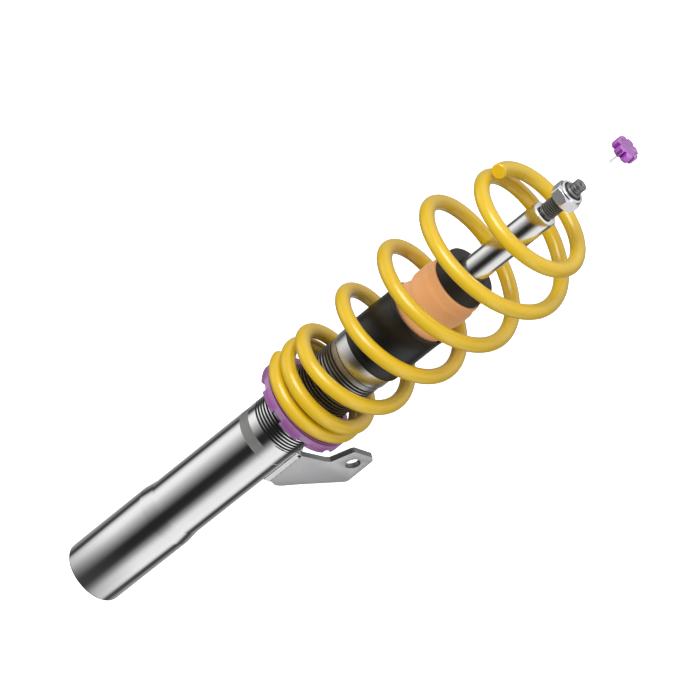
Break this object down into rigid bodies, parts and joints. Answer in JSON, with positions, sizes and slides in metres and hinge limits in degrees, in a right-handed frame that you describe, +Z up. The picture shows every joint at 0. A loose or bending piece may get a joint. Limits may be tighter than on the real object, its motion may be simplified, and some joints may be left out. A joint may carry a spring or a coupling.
{
  "type": "coilover strut",
  "caption": "Strut-type coilover with a polished threaded housing, height-adjustable spring perch, barrel-shaped coil spring, bump stop pack and a pull-off damping adjuster knob.",
  "frame": {"origin": "centre of the strut's closed foot", "axes": "+Z up along the strut towards the rod end, +X towards the side that carries the link bracket"},
  "size_m": [0.1345, 0.1273, 0.615],
  "materials": {
    "polished_steel": "polished, brushed along the turning direction",
    "plain_steel": "machined",
    "bracket_steel": "satin silver",
    "perch_purple": "purple anodised",
    "knob_violet": "bright violet anodised",
    "spring_yellow": "yellow powder coat",
    "black_rubber": "matt",
    "stop_foam": "matt closed-cell foam",
    "brass": "plain",
    "bearing_bronze": "dull",
    "nylon": "moulded"
  },
  "bodies": {
    "housing": {"strut_tube": "polished_steel", "base_cap": "plain_steel", "link_bracket": "bracket_steel", "pressure_tube": "plain_steel", "foot_valve_body": "plain_steel", "foot_valve_disc": "brass", "foot_valve_bolt": "plain_steel", "rod_guide": "plain_steel", "guide_bush": "bearing_bronze", "rod_seal": "black_rubber", "gland_nut": "polished_steel"},
    "piston_band": {"piston_ring": "bearing_bronze"},
    "rod": {"piston_rod": "polished_steel", "piston": "plain_steel", "compression_shims": "brass", "rebound_shims": "brass", "piston_nut": "plain_steel", "rebound_stop": "black_rubber", "top_nut": "plain_steel", "nut_insert": "nylon"},
    "adjuster": {"adjuster_screw": "plain_steel"},
    "needle": {"metering_needle": "plain_steel"},
    "knob": {"adjuster_knob": "knob_violet", "knob_key": "plain_steel"},
    "spring_seat": {"slip_ring": "perch_purple", "main_spring": "spring_yellow"},
    "collar": {"perch_collar": "perch_purple"},
    "bump_pack": {"dust_sleeve": "black_rubber", "bump_stop": "stop_foam", "bump_cap": "black_rubber"}
  },
  "joints": [
    {"name": "rod_stroke", "type": "slide", "parent": "housing", "child": "piston_band", "axis": [0, 0, 1], "range_m": [-0.08, 0], "stiffness_N_per_m": 400, "springref_m": 0.4, "deforming": ["main_spring"]},
    {"name": "rod_spin", "type": "hinge", "parent": "piston_band", "child": "rod", "pos_m": [0, 0, 0.4], "axis": [0, 0, 1], "continuous": true},
    {"name": "rebound_turn", "type": "hinge", "parent": "rod", "child": "adjuster", "pos_m": [0, 0, 0.56], "axis": [0, 0, 1], "range_deg": [-720, 0]},
    {"name": "needle_travel", "type": "slide", "parent": "rod", "child": "needle", "axis": [0, 0, 1], "range_m": [-0.00205, 0.0001]},
    {"name": "knob_pull", "type": "slide", "parent": "adjuster", "child": "knob", "axis": [0, 0, 1], "range_m": [-0.0415, 0]},
    {"name": "perch_height", "type": "slide", "parent": "housing", "child": "spring_seat", "axis": [0, 0, 1], "range_m": [-0.015, 0.03]},
    {"name": "perch_turn", "type": "hinge", "parent": "spring_seat", "child": "collar", "pos_m": [0, 0, 0.25], "axis": [0, 0, 1], "range_deg": [-1805, 3605]},
    {"name": "bump_slide", "type": "slide", "parent": "housing", "child": "bump_pack", "axis": [0, 0, 1], "range_m": [0, 0.078]}
  ],
  "couplings": [
    {"joint": "needle_travel", "follows": "rebound_turn", "m_per_rad": 0.00015915},
    {"joint": "perch_turn", "follows": "perch_height", "rad_per_m": 2094.4}
  ]
}
